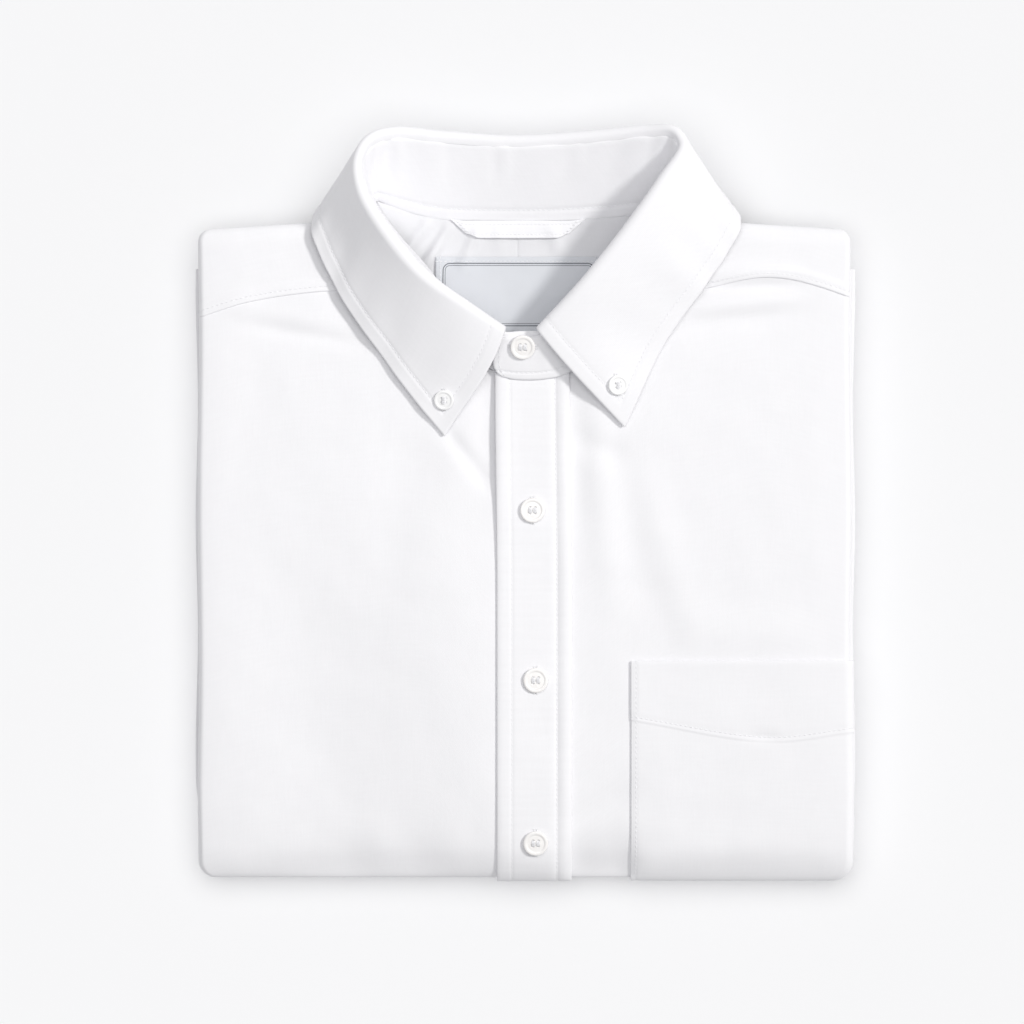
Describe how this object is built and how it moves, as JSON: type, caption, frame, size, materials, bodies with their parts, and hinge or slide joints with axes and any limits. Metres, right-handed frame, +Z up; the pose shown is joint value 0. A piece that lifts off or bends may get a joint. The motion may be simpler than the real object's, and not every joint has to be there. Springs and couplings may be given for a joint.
{
  "type": "folded oxford shirt",
  "caption": "Button-down oxford shirt, buttoned at the neck and folded flat, with its collar standing, a placket and a chest pocket.",
  "frame": {"origin": "under the middle of the shirt's box, on the surface that it lies on", "axes": "+Z up from the surface, +Y from the bottom fold to the collar, +X to the wearer's left, where the pocket is"},
  "size_m": [0.3012, 0.3482, 0.0519],
  "materials": {
    "cloth": "white cotton oxford weave",
    "label": "pale grey-blue woven satin",
    "button": "pearly off-white"
  },
  "bodies": {
    "root": {"front_right": "cloth", "front_left": "cloth", "yoke_right_shoulder": "cloth", "yoke_left_shoulder": "cloth", "folded_layers": "cloth", "yoke_inside_right": "cloth", "yoke_inside_left": "cloth", "placket": "cloth", "chest_pocket": "cloth", "collar_leaf": "cloth", "collar_stand": "cloth", "hanger_loop": "cloth", "neck_label": "label", "button_front_1": "button", "button_front_2": "button", "button_front_3": "button", "button_collar_right": "button", "button_collar_left": "button", "button_neck": "button"}
  },
  "joints": []
}
